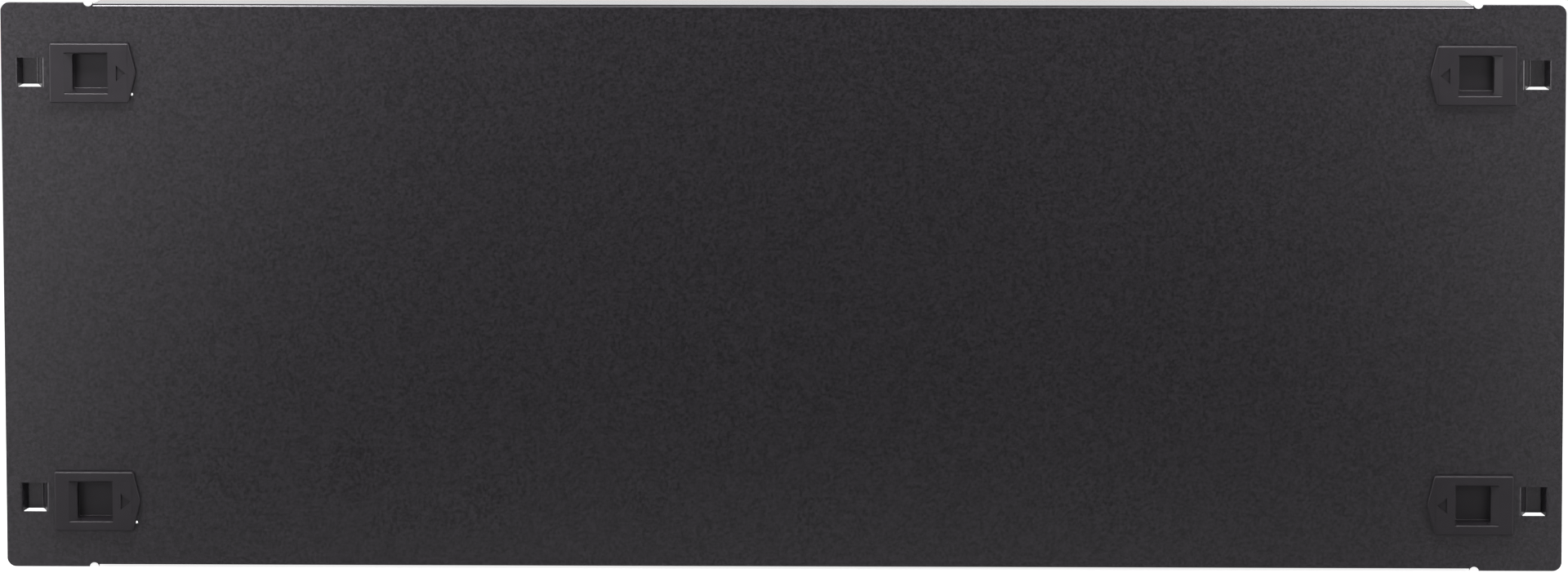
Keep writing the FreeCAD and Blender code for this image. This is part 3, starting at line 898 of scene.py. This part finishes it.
# %% [markdown]
# The world is plain white for the camera. All other rays see a room, bright behind the
# panel, so that the flange and the edges of the steel mirror a white backdrop, and nearly
# dark in front, as in a studio where the room behind the camera is kept dark so that black
# paint stays black. Reflections are given a little more of that front than diffuse light.

# %% World
BACKDROP, ROOM, MIRRORED = 2.0, 0.03, 0.12
TURN_START, TURN_END = 0.55, 0.95       # the heading's Y, from the room to the backdrop

world = bpy.data.worlds.new("studio")
world.use_nodes = True
bpy.context.scene.world = world
nodes, links = world.node_tree.nodes, world.node_tree.links
nodes.clear()
rays = nodes.new("ShaderNodeLightPath")
heading = nodes.new("ShaderNodeTexCoord")
parts = nodes.new("ShaderNodeSeparateXYZ")
links.new(heading.outputs["Generated"], parts.inputs["Vector"])
in_front = nodes.new("ShaderNodeMath")
in_front.operation = "MULTIPLY_ADD"
in_front.inputs[1].default_value = MIRRORED
in_front.inputs[2].default_value = ROOM
links.new(rays.outputs["Is Glossy Ray"], in_front.inputs[0])
turn_round = nodes.new("ShaderNodeMapRange")
turn_round.interpolation_type = "SMOOTHSTEP"
turn_round.inputs["From Min"].default_value = TURN_START
turn_round.inputs["From Max"].default_value = TURN_END
turn_round.inputs["To Max"].default_value = BACKDROP
links.new(in_front.outputs["Value"], turn_round.inputs["To Min"])
links.new(parts.outputs["Y"], turn_round.inputs["Value"])
room = nodes.new("ShaderNodeBackground")
links.new(turn_round.outputs["Result"], room.inputs["Strength"])
seen = nodes.new("ShaderNodeBackground")
seen.inputs["Color"].default_value = (1, 1, 1, 1)
choose = nodes.new("ShaderNodeMixShader")
output = nodes.new("ShaderNodeOutputWorld")
links.new(rays.outputs["Is Camera Ray"], choose.inputs["Fac"])
links.new(room.outputs["Background"], choose.inputs[1])
links.new(seen.outputs["Background"], choose.inputs[2])
links.new(choose.outputs["Shader"], output.inputs["Surface"])
print("backdrop", BACKDROP, "and front of the room", ROOM)

# %% [markdown]
# The panel is flat and black, so the lights are placed by what their reflections and
# shadows do. Two upright strips stand beside the ends and graze the front. They make it
# lighter towards its ends and give each latch a soft shadow on its inner side. Three lamps
# hang above, a little in front of the panel: they barely touch the front, and draw the
# bright lines on the upper bend and on the top of each latch. The middle one is weaker,
# because the line fades there. Two low lamps in front fill the pockets and the lances.

# %% Lights
LIGHTS = {                   # place, aim, size (width, height) in metres, and watts
    "left strip": ((-0.4, -0.2, 0), (0, 0, 0), (0.2, 0.4), 0.68),
    "right strip": ((0.41, -0.2, 0), (0, 0, 0), (0.2, 0.4), 0.55),
    "overhead left": ((-0.24, -0.14, 0.33), (-0.24, 0, 0.088), (0.18, 0.13), 1.7),
    "overhead middle": ((0, -0.14, 0.33), (0, 0, 0.088), (0.24, 0.1), 0.3),
    "overhead right": ((0.25, -0.14, 0.33), (0.25, 0, 0.088), (0.18, 0.13), 1.3),
    "front left": ((-0.55, -0.65, 0.22), (-0.24, 0, 0), (0.3, 0.3), 0.9),
    "front right": ((0.55, -0.65, 0.22), (0.24, 0, 0), (0.3, 0.3), 0.75),
}
for name, (place, aim, size, watts) in LIGHTS.items():
    nothing_selected()
    bpy.ops.object.light_add(type="AREA", location=place)
    lamp = bpy.context.object
    lamp.name = name
    lamp.data.shape = "RECTANGLE"
    lamp.data.size, lamp.data.size_y = size
    lamp.data.energy = watts
    lamp.visible_camera = False
    lamp.rotation_euler = (Vector(aim) - Vector(place)).to_track_quat("-Z", "Y").to_euler()
    print(name, watts, "W")

# %% [markdown]
# The camera stands far off with a long lens, a little above the panel and a little to its
# right, so the panel fills the picture almost without perspective.

# %% Camera
YAW, PITCH, ROLL = radians(1.6436), radians(9.1266), radians(-0.1143)
TARGET = Vector((0.4455, 0, 0.0585)) * MM
DISTANCE, LENS = 3.4397, 255.35

ahead = Vector((-sin(YAW) * cos(PITCH), cos(YAW) * cos(PITCH), -sin(PITCH)))
right = ahead.cross(Vector((0, 0, 1))).normalized()
above = right.cross(ahead)
across = right * cos(ROLL) + above * sin(ROLL)
upward = above * cos(ROLL) - right * sin(ROLL)
nothing_selected()
bpy.ops.object.camera_add()
camera = bpy.context.object
camera.matrix_world = Matrix.Translation(TARGET - ahead * DISTANCE) @ Matrix(
    (across, upward, -ahead)).transposed().to_4x4()
camera.data.sensor_width = 36
camera.data.lens = LENS
bpy.context.scene.camera = camera
bpy.context.scene.view_settings.view_transform = "Standard"
print("camera", round(DISTANCE, 3), "m away")

# %% [markdown]
# ## The boxes
# What was modelled has to stay inside the CAD model's box, so both boxes are written down
# side by side.

# %% Print the visual box
low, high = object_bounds()
print("visual box, mm:", [round(v * 1000, 2) for v in (*low, *high)])
